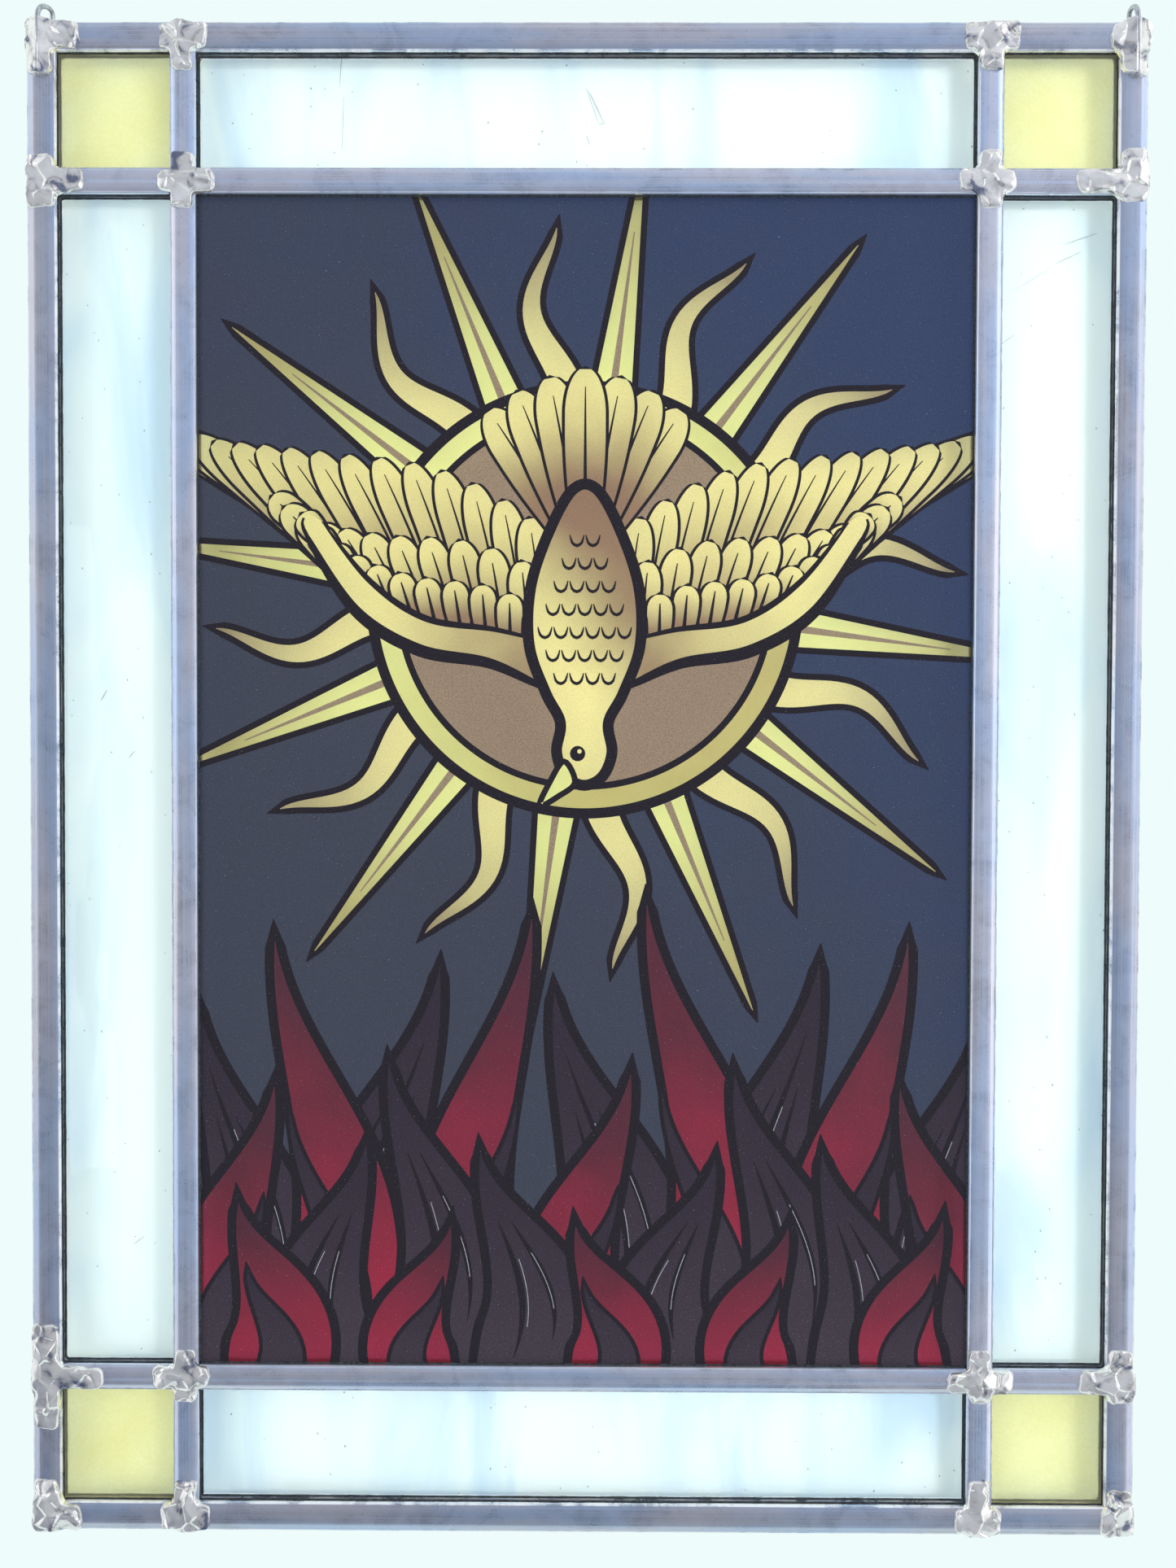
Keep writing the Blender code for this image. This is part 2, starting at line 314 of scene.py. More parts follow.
came_tree, given = geometry_tree(
    "drawn_came",
    Start="Vector",
    End="Vector",
    Facing="Vector",
    Section="Object",
    Step=CAME_STEP,
    Wander=CAME_WANDER,
    Wander_Length=CAME_WANDER_LENGTH,
    Polish=EDGE_PAINTED_LIGHT,
    Finish="Material",
)
line = node(came_tree, "GeometryNodeCurvePrimitiveLine", {"Start": given["Start"], "End": given["End"]})
stepped = resampled(came_tree, line.outputs["Curve"], given["Step"])
along = node(came_tree, "GeometryNodeSplineParameter").outputs["Length"]
marked = stored(came_tree, stepped, "along", along)
frequency = reckon(came_tree, "DIVIDE", 1.0, given["Wander Length"])
wander = node(came_tree, "ShaderNodeTexNoise", {"Scale": frequency, "Detail": 2.0}).outputs["Color"]
centred = node(came_tree, "ShaderNodeVectorMath", {0: wander, 1: (0.5, 0.5, 0.5)}, operation="SUBTRACT")
wandered = moved(came_tree, marked, scaled(came_tree, centred.outputs["Vector"], given["Wander"]))
faced = node(came_tree, "GeometryNodeSetCurveNormal", {"Curve": wandered}, mode="FREE")
came_tree.links.new(given["Facing"], faced.inputs["Normal"])
section = node(came_tree, "GeometryNodeObjectInfo", {"Object": given["Section"]}).outputs["Geometry"]
around = node(came_tree, "GeometryNodeSplineParameter").outputs["Length"]
section = stored(came_tree, section, "around", around)
sweep = {"Curve": faced.outputs["Curve"], "Profile Curve": section, "Fill Caps": True}
swept = node(came_tree, "GeometryNodeCurveToMesh", sweep).outputs["Mesh"]
end_tree(came_tree, stored(came_tree, swept, "polish", given["Polish"]), given["Finish"])

lead, tree, shader = principled("drawn_lead", Specular_IOR_Level=0.5)
on_came = {"X": attribute(tree, "along"), "Y": attribute(tree, "around")}
came_place = node(tree, "ShaderNodeCombineXYZ", on_came)


def drawn_out(tree, place, scale):
    """A pattern that runs in lines along the came."""
    lengthened = node(tree, "ShaderNodeMapping", {"Vector": place.outputs["Vector"], "Scale": scale})
    return clouds(tree, 1.0, 2.0, place=lengthened.outputs["Vector"])


tarnish = clouds(tree, 130.0, 7.0, 0.62, 0.6)
mottle = mixed(tree, 0.5, drawn_out(tree, came_place, DIE_LINES), tarnish, "FLOAT")
skin = ramp(tree, drawn_out(tree, came_place, SKIN_BANDS), (0.38, LEAD_LILAC), (0.60, LEAD_BLUE))
wear = ramp(tree, mottle, (0.34, 0.70), (0.48, 0.93), (0.64, 1.0))
pitting = ramp(tree, clouds(tree, 2100.0, 2.0, 0.7), (0.27, 0.55), (0.34, 1.0))
worn = mixed(tree, 1.0, mixed(tree, 1.0, skin, wear, blend_type="MULTIPLY"), pitting, blend_type="MULTIPLY")
# The lead's colour is scaled by its came's painted light.
lead_with_painted_light = scaled(tree, worn, attribute(tree, "polish"))
# Near-white, less metallic convex edges at random along the came: partly rubbed lead, partly a painted
# highlight.
pointiness = node(tree, "ShaderNodeNewGeometry").outputs["Pointiness"]
edges = stretch(tree, pointiness, WORN_AND_HIGHLIT_EDGE_FROM, WORN_AND_HIGHLIT_EDGE_TO, interpolation_type="SMOOTHSTEP")
worn_and_highlit_edges = reckon(tree, "MULTIPLY", edges, stretch(tree, tarnish, 0.36, 0.54))
feed(
    shader,
    Base_Color=mixed(tree, worn_and_highlit_edges, lead_with_painted_light, (*WORN_AND_HIGHLIT_EDGE_COLOUR, 1)),
    Metallic=stretch(tree, worn_and_highlit_edges, 0.0, 1.0, 0.9, 0.35),
    Roughness=stretch(tree, tarnish, 0.3, 0.7, 0.24, 0.34),
)
bump(tree, shader, mottle, 0.00010, 0.45)

UP = Vector((0, 0, 1))
ACROSS = Vector((1, 0, 0))
edge_section = section_curve("edge_section", u_section(EDGE_HALF_WIDTH))
inner_section = section_curve("inner_section", h_section(INNER_HALF_WIDTH))
for name in sorted(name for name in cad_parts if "came" in name):
    low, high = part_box(name)
    middle = (low + high) / 2
    upright = high.z - low.z > high.x - low.x
    on_edge = name.startswith("border")
    direction, facing = (UP, ACROSS) if upright else (ACROSS, UP)
    half_length = (high - low).dot(direction) / 2
    inner_painted_light = UPRIGHT_PAINTED_LIGHT if upright else LEVEL_PAINTED_LIGHT
    came = made_by(
        came_tree,
        name.replace("came", "lead"),
        Start=middle - direction * half_length,
        End=middle + direction * half_length,
        Facing=-facing if name in ("border_came_right", "border_came_top") else facing,
        Section=edge_section if on_edge else inner_section,
        Polish=EDGE_PAINTED_LIGHT if on_edge else inner_painted_light,
        Finish=lead,
    )
    smooth(came.data, 50)
    settle(came, "lead", name)


# Clear border strips
# Mouth-blown sheet in four strips. Both faces ripple gently, round seeds hang in it, and a few
# long blisters were drawn out as the glass was blown. Pale wisps cross it.

SHEET_CELL = 0.0016
STRIP_RIPPLE = 0.00016
STRIP_RIPPLE_LENGTH = 0.016
RIPPLE_DRAW = (1.0, 6.0, 0.45)
STRIP_SEEDS = 5200
SEED_RADIUS = 0.00022
SEED_LEVEL = 0.0009
SEED_LEAST = (0.35, 0.35, 0.4)
SEED_MOST = (1.1, 0.9, 1.7)
WISP_SCALE = (34.0, 30.0, 9.0)
WISP_LEAN = math.radians(24)
BLISTERS = {
    # across, up, length, width and lean in degrees of each long bubble
    "border_glass_top": (
        (0.0016, -0.0253, 0.0110, 0.00022, -20),
        (0.0026, -0.0256, 0.0100, 0.00040, -26),
        (0.0042, -0.0302, 0.0017, 0.00030, 75),
        (0.0005, -0.0345, 0.0030, 0.00022, -18),
        (-0.0655, -0.0300, 0.0150, 0.00018, 2),
        (-0.0660, -0.0150, 0.0120, 0.00020, 4),
    ),
    "border_glass_right": (
        (0.1329, -0.0607, 0.0098, 0.00028, 71),
        (0.1297, -0.0657, 0.0080, 0.00022, 65),
        (0.1195, -0.0719, 0.0140, 0.00014, 57),
        (0.1130, -0.0880, 0.0060, 0.00020, 55),
    ),
    "border_glass_left": (
        (-0.1215, -0.3330, 0.0040, 0.00026, 52),
        (-0.1305, -0.1840, 0.0036, 0.00030, 30),
        (-0.1230, -0.2000, 0.0026, 0.00026, 40),
    ),
}

sheet_tree, given = geometry_tree(
    "blown_sheet",
    Size="Vector",
    Centre="Vector",
    Columns=2,
    Rows=2,
    Ripple=STRIP_RIPPLE,
    Ripple_Length=STRIP_RIPPLE_LENGTH,
    Seeds=0.0,
    Seed_Radius=SEED_RADIUS,
    Sowing=1,
    Finish="Material",
)


def placed(tree, mesh, centre, turn=(0, 0, 0)):
    inputs = {"Geometry": mesh, "Translation": centre, "Rotation": turn}
    return node(tree, "GeometryNodeTransform", inputs).outputs["Geometry"]


def scattered(tree, least, most, seed):
    """A vector for each point, at random between two others."""
    inputs = {"Min": least, "Max": most, "Seed": seed}
    return node(tree, "FunctionNodeRandomValue", inputs, data_type="FLOAT_VECTOR").outputs["Value"]


UPENDED = (math.radians(90), 0, 0)
cells = {"Vertices X": given["Columns"], "Vertices Y": 2, "Vertices Z": given["Rows"]}
block = node(sheet_tree, "GeometryNodeMeshCube", {"Size": given["Size"], **cells}).outputs["Mesh"]
here = node(sheet_tree, "GeometryNodeInputPosition").outputs["Position"]
drawn = node(sheet_tree, "ShaderNodeVectorMath", {0: here, 1: RIPPLE_DRAW}, operation="MULTIPLY")
frequency = reckon(sheet_tree, "DIVIDE", 1.0, given["Ripple Length"])
ripple = clouds(sheet_tree, frequency, 1.0, place=drawn.outputs["Vector"])
depth = reckon(sheet_tree, "MULTIPLY", reckon(sheet_tree, "SUBTRACT", ripple, 0.5), given["Ripple"])
push = node(sheet_tree, "ShaderNodeCombineXYZ", {"Y": depth}).outputs["Vector"]
rippled = moved(sheet_tree, placed(sheet_tree, block, given["Centre"]), push)
extent = node(sheet_tree, "ShaderNodeSeparateXYZ", {"Vector": given["Size"]}).outputs
plain = {"Size X": extent["X"], "Size Y": extent["Z"], "Vertices X": 2, "Vertices Y": 2}
bed = node(sheet_tree, "GeometryNodeMeshGrid", plain).outputs["Mesh"]
sowing = {
    "Mesh": placed(sheet_tree, bed, given["Centre"], UPENDED),
    "Density": given["Seeds"],
    "Seed": given["Sowing"],
}
sown = node(sheet_tree, "GeometryNodeDistributePointsOnFaces", sowing).outputs["Points"]
level = scattered(sheet_tree, (0, -SEED_LEVEL, 0), (0, SEED_LEVEL, 0), given["Sowing"])
ball = node(sheet_tree, "GeometryNodeMeshIcoSphere", {"Radius": given["Seed Radius"], "Subdivisions": 2})
seeding = {
    "Points": moved(sheet_tree, sown, level),
    "Instance": ball.outputs["Mesh"],
    "Scale": scattered(sheet_tree, SEED_LEAST, SEED_MOST, 5),
}
seeds = node(sheet_tree, "GeometryNodeInstanceOnPoints", seeding).outputs["Instances"]
real_seeds = node(sheet_tree, "GeometryNodeRealizeInstances", {"Geometry": seeds}).outputs["Geometry"]
hollow_seeds = node(sheet_tree, "GeometryNodeFlipFaces", {"Mesh": real_seeds})
seeded = node(sheet_tree, "GeometryNodeJoinGeometry", {"Geometry": rippled})
sheet_tree.links.new(hollow_seeds.outputs["Mesh"], seeded.inputs["Geometry"])
end_tree(sheet_tree, seeded.outputs["Geometry"], given["Finish"])


def add_blister(mesh, across, up, length, width, lean):
    """A long bubble inside the sheet, with its faces turned into the hollow."""
    work = bmesh.new()
    work.from_mesh(mesh)
    made = bmesh.ops.create_uvsphere(work, u_segments=20, v_segments=14, radius=0.5)
    shape = Matrix.Translation((across, 0, up)) @ Matrix.Rotation(math.radians(lean), 4, "Y")
    shape = shape @ Matrix.Diagonal((width, width, length, 1.0))
    bmesh.ops.transform(work, matrix=shape, verts=made["verts"])
    skin = list(dict.fromkeys(face for vert in made["verts"] for face in vert.link_faces))
    bmesh.ops.reverse_faces(work, faces=skin)
    for face in skin:
        face.material_index = mesh.polygons[0].material_index
    work.to_mesh(mesh)
    work.free()


def sheet(name, slot, finish, cell, ripple, ripple_length, seeds, sowing):
    """A pane of blown glass in the place of a plain one."""
    low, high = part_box(name)
    size = high - low
    pane = made_by(
        sheet_tree,
        name.replace("glass", "pane"),
        Size=size,
        Centre=(low + high) / 2,
        Columns=round(size.x / cell) + 1,
        Rows=round(size.z / cell) + 1,
        Ripple=ripple,
        Ripple_Length=ripple_length,
        Seeds=seeds,
        Sowing=sowing,
        Finish=finish,
    )
    for blister in BLISTERS.get(name, ()):
        add_blister(pane.data, *blister)
    smooth(pane.data, 60)
    pane.visible_shadow = False
    settle(pane, slot, name)


clear, tree, shader = principled("clear_glass", Transmission_Weight=1.0, Roughness=0.02, IOR=1.5)
wisps = clouds(tree, 1.0, 5.0, 0.55, 0.9, object_place(tree, WISP_SCALE, (0, WISP_LEAN, 0)))
clear_stops = ((0.36, (0.74, 0.85, 0.965)), (0.52, (0.955, 1.0, 1.0)), (0.62, (0.985, 1.0, 1.0)))
feed(shader, Base_Color=ramp(tree, wisps, *clear_stops))
strip = (SHEET_CELL, STRIP_RIPPLE, STRIP_RIPPLE_LENGTH, STRIP_SEEDS)
for sowing, place in enumerate(("top", "bottom", "left", "right")):
    sheet(f"border_glass_{place}", "clear_glass", clear, *strip, sowing)


# Yellow corner squares
# Four squares of pale yellow rolled sheet. Its skin has a fine grain that blurs what is behind.

YELLOW_CELL = 0.0010
YELLOW_RIPPLE = 0.00010
YELLOW_RIPPLE_LENGTH = 0.004
YELLOW_SEEDS = 900
YELLOW_FIRST_SOWING = 20
YELLOW_DEEP = (0.90, 0.85, 0.47)
YELLOW_PALE = (0.99, 0.96, 0.64)

yellow, tree, shader = principled("yellow_glass", Transmission_Weight=0.92, Roughness=0.30, IOR=1.5)
grain = clouds(tree, 1500.0, 3.0)
stain = mixed(tree, 0.45, grain, clouds(tree, 60.0, 2.0), "FLOAT")
feed(shader, Base_Color=ramp(tree, stain, (0.38, YELLOW_DEEP), (0.62, YELLOW_PALE)))
bump(tree, shader, grain, 0.00010, 0.6)
square = (YELLOW_CELL, YELLOW_RIPPLE, YELLOW_RIPPLE_LENGTH, YELLOW_SEEDS)
for count, place in enumerate(("top_left", "top_right", "bottom_left", "bottom_right")):
    sheet(f"corner_glass_{place}", "yellow_glass", yellow, *square, YELLOW_FIRST_SOWING + count)


# Picture pane
# One sheet of glass with a picture painted and fired on its front: a dove that comes down before
# a sun on a slate ground, over tongues of flame. Thin stain lets light through, and the
# contours are thick dark paint. Its lengths are millimetres from the pane's middle.

MM = 0.001
CURVE_STEP = 1.0
SPINE_STEP = 1.7
SUN = (0.0, 50.0)
DOVE = (0.0, 22.0)
RAY_COUNT = 24
RAY_START = 40.0
RAY_SHADE = (66, 118)
# reach, half width at the start, sway and how it tapers
STRAIGHT_RAY = (120.0, 6.2, 0.0, 1.0)
WAVY_RAY = (100.0, 5.4, 0.055, 0.8)
RAY_RIM = 1.7
FEATHER_RIM = 0.85
HIDDEN_RAY = 19
SUN_RINGS = ((59.0, "contour"), (56.2, "yellow"), (51.2, "contour"), (49.4, "brown"))
WING_ARM = ((6, 8), (24, 16), (44, 20), (60, 30), (72, 46))
ARM_OUTLINE = (
    ((2, 2), (12, 5), (26, 11), (45, 14.5), (62, 25), (75, 45), (76, 50))
    + ((71, 49), (58, 33), (43, 23), (24, 20), (8, 16))
)
FEATHER_LAYERS = (
    # feathers, first and last share of the arm, first and last angle and length, width, bend
    (15, 0.08, 0.98, 4, 54, 40, 50, 9.0, 0.05),
    (12, 0.06, 0.94, 0, 48, 25, 19, 8.0, 0.03),
    (12, 0.04, 0.94, -6, 40, 14, 10, 6.8, 0.0),
)
BODY_SIDE = ((3, 58), (9, 48), (14.5, 32), (15, 16), (10.5, 3), (6.5, -5), (7.5, -13), (5, -19.5))
BODY_FOOT = (0, -22)
BEAK = ((-5.5, -15.5), (-9.5, -21.5), (-12, -27.5), (-7, -25), (-2.5, -21.2))
SCALE_ROWS = (4, 5, 6, 5, 4, 3, 2)
SCALE = ((-1.9, 1.4), (-1.3, -0.7), (0, -1.5), (1.3, -0.7), (1.9, 1.4))
# Half width of the pale hairlines: scratched through the paint, partly a painted highlight on its relief.
SCRATCH_AND_HIGHLIGHT_HALF = 0.11
TONGUE_ROOT = 8.0
SMOKE_TOP = -118.0
TONGUE_RIM = 2.6
CORE_RIM = 1.1
TONGUE_ROWS = (
    # across, height, width, sway, paint and veins of each tongue, from the back row to the front
    (-96, 100, 34, 9, "plum", 3),
    (-50, 110, 38, -11, "plum", 3),
    (2, 104, 40, 10, "plum", 3),
    (54, 112, 38, -10, "plum", 3),
    (100, 98, 36, -9, "plum", 3),
    (-74, 118, 30, 10, "crimson", 0),
    (-24, 124, 30, -10, "crimson", 0),
    (28, 128, 32, 11, "crimson", 0),
    (78, 118, 30, -10, "crimson", 0),
    (-92, 78, 30, -8, "crimson", 0),
    (-44, 84, 32, 9, "plum", 2),
    (4, 82, 30, -9, "crimson", 0),
    (50, 82, 32, 9, "plum", 2),
    (94, 78, 28, 8, "crimson", 0),
    (-66, 62, 30, -7, "plum", 2),
    (-20, 60, 32, 8, "plum", 2),
    (28, 58, 30, -8, "plum", 2),
    (72, 60, 30, 7, "plum", 2),
    (-88, 46, 30, 6, "crimson", 0),
    (-42, 40, 24, -6, "crimson", 0),
    (4, 40, 26, 6, "crimson", 0),
    (50, 40, 24, -6, "crimson", 0),
    (92, 42, 24, -6, "crimson", 0),
)
PAINTS = {
    # colour in the light and in the shade, how much light passes, roughness and grain
    "slate": ((0.052, 0.058, 0.086), (0.036, 0.055, 0.125), 0.08, 0.60, 0.30),
    "contour": ((0.022, 0.017, 0.024), (0.022, 0.017, 0.024), 0.0, 0.48, 0.35),
    "yellow": ((0.94, 0.86, 0.20), (0.52, 0.36, 0.07), 0.88, 0.40, 0.10),
    "amber": ((1.0, 0.76, 0.22), (0.20, 0.075, 0.035), 0.85, 0.40, 0.18),
    "brown": ((0.30, 0.175, 0.11), (0.19, 0.105, 0.068), 0.50, 0.55, 0.45),
    "plum": ((0.062, 0.046, 0.062), (0.036, 0.026, 0.040), 0.04, 0.55, 0.35),
    # pale hairlines: scratched through the paint, partly a painted highlight on its relief
    "scratch": ((0.46, 0.43, 0.47), (0.22, 0.19, 0.23), 0.30, 0.40, 0.50),
    "crimson": ((0.36, 0.003, 0.020), (0.045, 0.003, 0.010), 0.55, 0.45, 0.30),
}

pane_low, pane_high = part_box("picture_glass")
pane_middle = (pane_low + pane_high) / 2
PANE_HALF = (pane_high - pane_middle) / MM
painted = []


def fill(outline, paint, shade=None):
    """Lays an outline over what is painted already. The shade runs from one point to another."""
    swept = sum(x0 * z1 - x1 * z0 for (x0, z0), (x1, z1) in zip(outline, outline[1:] + outline[:1]))
    painted.append((outline if swept > 0 else outline[::-1], paint, shade))


def eased(t, a, b, c, d):
    """The way from b to c, smooth with a before them and d after them."""
    return b + t / 2 * (c - a) + t**2 * (a - 2.5 * b + 2 * c - d / 2) + t**3 * (3 * (b - c) + d - a) / 2


def smooth_curve(points, closed=False):
    """Points along a smooth curve through the given ones."""
    count = len(points)
    curve = []
    for index in range(count if closed else count - 1):
        if closed:
            near = [points[(index + step) % count] for step in (-1, 0, 1, 2)]
        else:
            near = [points[min(max(index + step, 0), count - 1)] for step in (-1, 0, 1, 2)]
        steps = max(1, round(math.dist(near[1], near[2]) / CURVE_STEP))
        for step in range(steps):
            curve.append(tuple(eased(step / steps, *values) for values in zip(*near)))
    return curve if closed else curve + [points[-1]]


def circle(centre, radius):
    count = max(14, round(math.tau * radius / CURVE_STEP))
    turns = [math.tau * step / count for step in range(count)]
    return [(centre[0] + radius * math.cos(turn), centre[1] + radius * math.sin(turn)) for turn in turns]


def sides(spine, halves, closed=False):
    """The outline that lies the given half widths to each side of a spine."""
    left, right = [], []
    count = len(spine)
    for index, ((x, z), half) in enumerate(zip(spine, halves)):
        before = spine[index - 1 if closed else max(index - 1, 0)]
        after = spine[(index + 1) % count if closed else min(index + 1, count - 1)]
        run, rise = after[0] - before[0], after[1] - before[1]
        length = math.hypot(run, rise)
        left.append((x - rise / length * half, z + run / length * half))
        right.append((x + rise / length * half, z - run / length * half))
    if closed:
        return left + left[:1] + right[:1] + right[::-1]
    return left + right[::-1]


def brush(points, width, start=0.0, end=0.0):
    """A stroke that swells between its two ends, which keep a share of its width."""
    line = smooth_curve(points)
    halves = []
    for index in range(len(line)):
        share = index / (len(line) - 1)
        swell = math.sin(math.pi * share) ** 0.6
        halves.append(width / 2 * max(swell, start * (1 - share) + end * share, 0.04))
    fill(sides(line, halves), "contour")


def ring_brush(points, width):
    """A stroke of one width that closes on itself."""
    line = smooth_curve(points, True)
    fill(sides(line, [width / 2] * len(line), True), "contour")


def blade(spine, halves, paint, rim, shade=None):
    """A ray, feather or flame along a spine, inside a dark rim that runs on past its tip."""
    tip, before = spine[-1], spine[-2]
    past = 1 + rim * (2.2 if halves[-1] < 0.3 else 1.0) / math.dist(tip, before)
    beyond = (before[0] + (tip[0] - before[0]) * past, before[1] + (tip[1] - before[1]) * past)
    wide = [half + rim for half in halves]
    fill(sides(spine + [beyond], wide[:-1] + [wide[-1] * 0.8, 0.15]), "contour")
    fill(sides(spine, halves), paint, shade)


def from_sun(angle, radius):
    return (SUN[0] + radius * math.sin(angle), SUN[1] + radius * math.cos(angle))


def sun_ray(angle, wavy):
    reach, base, sway, taper = WAVY_RAY if wavy else STRAIGHT_RAY
    steps = round((reach - RAY_START) / SPINE_STEP)
    spine, halves = [], []
    for step in range(steps + 1):
        share = step / steps
        radius = RAY_START + (reach - RAY_START) * share
        spine.append(from_sun(angle + sway * math.sin(math.tau * 1.2 * share), radius))
        halves.append(base * (1 - share) ** taper + 0.1)
    shade = [place for radius in RAY_SHADE for place in from_sun(angle, radius)]
    blade(spine, halves, "amber" if wavy else "yellow", RAY_RIM, shade)
    if not wavy:
        vein = len(spine) * 3 // 4
        fill(sides(spine[:vein], [1.3 * (1 - index / vein) + 0.1 for index in range(vein)]), "brown")


def feather(base, angle, length, width, bend=0.0, mirror=1):
    """A feather on the dove. The angle turns it from straight up towards the wing's tip."""
    steps = max(12, round(length / SPINE_STEP))
    spine, halves = [], []
    for step in range(steps + 1):
        share = 1 - (1 - step / steps) ** 1.7
        up, across = length * share, bend * length * share**2
        x = base[0] + across * math.cos(angle) + up * math.sin(angle)
        z = base[1] - across * math.sin(angle) + up * math.cos(angle)
        spine.append((DOVE[0] + mirror * x, DOVE[1] + z))
        rounding = math.sqrt(max(0.0, 1 - max(0.0, (share - 0.74) / 0.27) ** 2))
        halves.append(width / 2 * (0.55 + 0.45 * math.sin(math.pi * min(share / 1.3, 0.5))) * rounding)
    root, tip = spine[0], spine[-1]
    dark_end = (root[0] + (tip[0] - root[0]) * 0.25, root[1] + (tip[1] - root[1]) * 0.25)
    blade(spine, halves, "amber", FEATHER_RIM, (*tip, *dark_end))
    shaft = spine[1 : steps * 4 // 5]
    fill(sides(shaft, [0.5 * (1 - index / len(shaft)) + 0.1 for index in range(len(shaft))]), "contour")


def on_line(line, share):
    place = share * (len(line) - 1)
    before = min(int(place), len(line) - 2)
    return tuple(a + (b - a) * (place - before) for a, b in zip(line[before], line[before + 1]))


def wing(mirror):
    line = smooth_curve(WING_ARM)
    for count, first, last, near_angle, far_angle, near_length, far_length, width, bend in FEATHER_LAYERS:
        for index in reversed(range(count)):
            share = index / (count - 1)
            angle = math.radians(near_angle + (far_angle - near_angle) * share**1.1)
            length = near_length + (far_length - near_length) * share
            length += 0.22 * near_length * math.sin(math.pi * share)
            feather(on_line(line, first + (last - first) * share), angle, length, width, bend, mirror)
    arm = [(DOVE[0] + mirror * x, DOVE[1] + z) for x, z in ARM_OUTLINE]
    fill(smooth_curve(arm, True), "amber", (*arm[4], *arm[0]))
    brush(arm[:7], 3.4, 0.6, 0.2)
    brush(arm[:6:-1], 1.8, 0.6, 0.2)


def dove_body():
    for index in (0, 6, 1, 5, 2, 4, 3):
        lean = (index - 3) / 3
        feather((lean * 4, 44), math.radians(30 * lean), 46 - 5 * abs(lean), 11, 0.04 * lean)
    body = [(DOVE[0] + x, DOVE[1] + z) for x, z in (*BODY_SIDE, BODY_FOOT)]
    body += [(DOVE[0] - x, DOVE[1] + z) for x, z in reversed(BODY_SIDE)]
    fill(smooth_curve(body, True), "amber", (DOVE[0] - 8, DOVE[1] + 8, DOVE[0] + 18, DOVE[1] + 34))
    ring_brush(body, 3.0)
    for row, count in enumerate(SCALE_ROWS):
        z = DOVE[1] + 7 + row * 6.2
        for index in range(count):
            x = DOVE[0] + (index - (count - 1) / 2) * 4.3
            brush([(x + across, z + up) for across, up in SCALE], 0.9, 0.3, 0.3)
    beak = [(DOVE[0] + x, DOVE[1] + z) for x, z in BEAK]
    fill(smooth_curve(beak, True), "yellow")
    ring_brush(beak, 1.6)
    fill(circle((DOVE[0] - 1.8, DOVE[1] - 13.4), 2.1), "contour")
    fill(circle((DOVE[0] - 1.3, DOVE[1] - 12.8), 0.6), "amber")


def tongue(x, height, width, sway, paint, rim, veins=0):
    """A tongue of flame or smoke that rises in an S from below the pane's foot."""
    height += TONGUE_ROOT
    steps = round(height / SPINE_STEP)
    foot = -TONGUE_ROOT - PANE_HALF.z
    spine, halves = [], []
    for step in range(steps + 1):
        share = step / steps
        spine.append((x + sway * math.sin(math.pi * 1.45 * share), foot + height * share))
        halves.append(width / 2 * (0.62 + 0.5 * math.sin(math.pi * share**0.8)) * (1 - share**1.5) + 0.05)
    blade(spine, halves, paint, rim, (x, foot + height * 0.1, x + sway, foot + height))
    for vein in range(veins):
        side = (vein + 0.5) / veins * 2 - 1
        first, last = round(steps * 0.18) + vein * 3, round(steps * (0.86 - 0.2 * abs(side)))
        line = [(px + side * half * 0.62, pz) for (px, pz), half in list(zip(spine, halves))[first:last]]
        count = len(line)
        swell = [0.85 * math.sin(math.pi * index / (count - 1)) + 0.1 for index in range(count)]
        fill(sides(line, swell), "contour")
        # Pale hairlines beside the veins: scratched through the paint, partly a painted highlight on its
        # relief.
        scratch_and_highlight_line = [(px - side * 1.6 + 0.8, pz) for px, pz in line[count // 4 : count * 3 // 4]]
        fill(sides(scratch_and_highlight_line, [SCRATCH_AND_HIGHLIGHT_HALF] * len(scratch_and_highlight_line)), "scratch")


def ground(low_z, high_z, paint, shade=None):
    corners = [(-PANE_HALF.x, low_z), (PANE_HALF.x, low_z), (PANE_HALF.x, high_z), (-PANE_HALF.x, high_z)]
    fill(corners, paint, shade)


def shade_at(place, shade):
    """How far a point lies from the light end of a shade to its dark end, from 0 to 1."""
    if shade is None:
        return 0.0
    x0, z0, x1, z1 = shade
    run, rise = x1 - x0, z1 - z0
    share = ((place.x - x0) * run + (place.y - z0) * rise) / (run**2 + rise**2)
    return min(max(share, 0.0), 1.0)


def built(name, work, *finishes):
    """An object of the mesh that was worked on, with its finishes."""
    made = put_up(name, bpy.data.meshes.new(name))
    work.to_mesh(made.data)
    work.free()
    for finish in finishes:
        made.data.materials.append(finish)
    return made


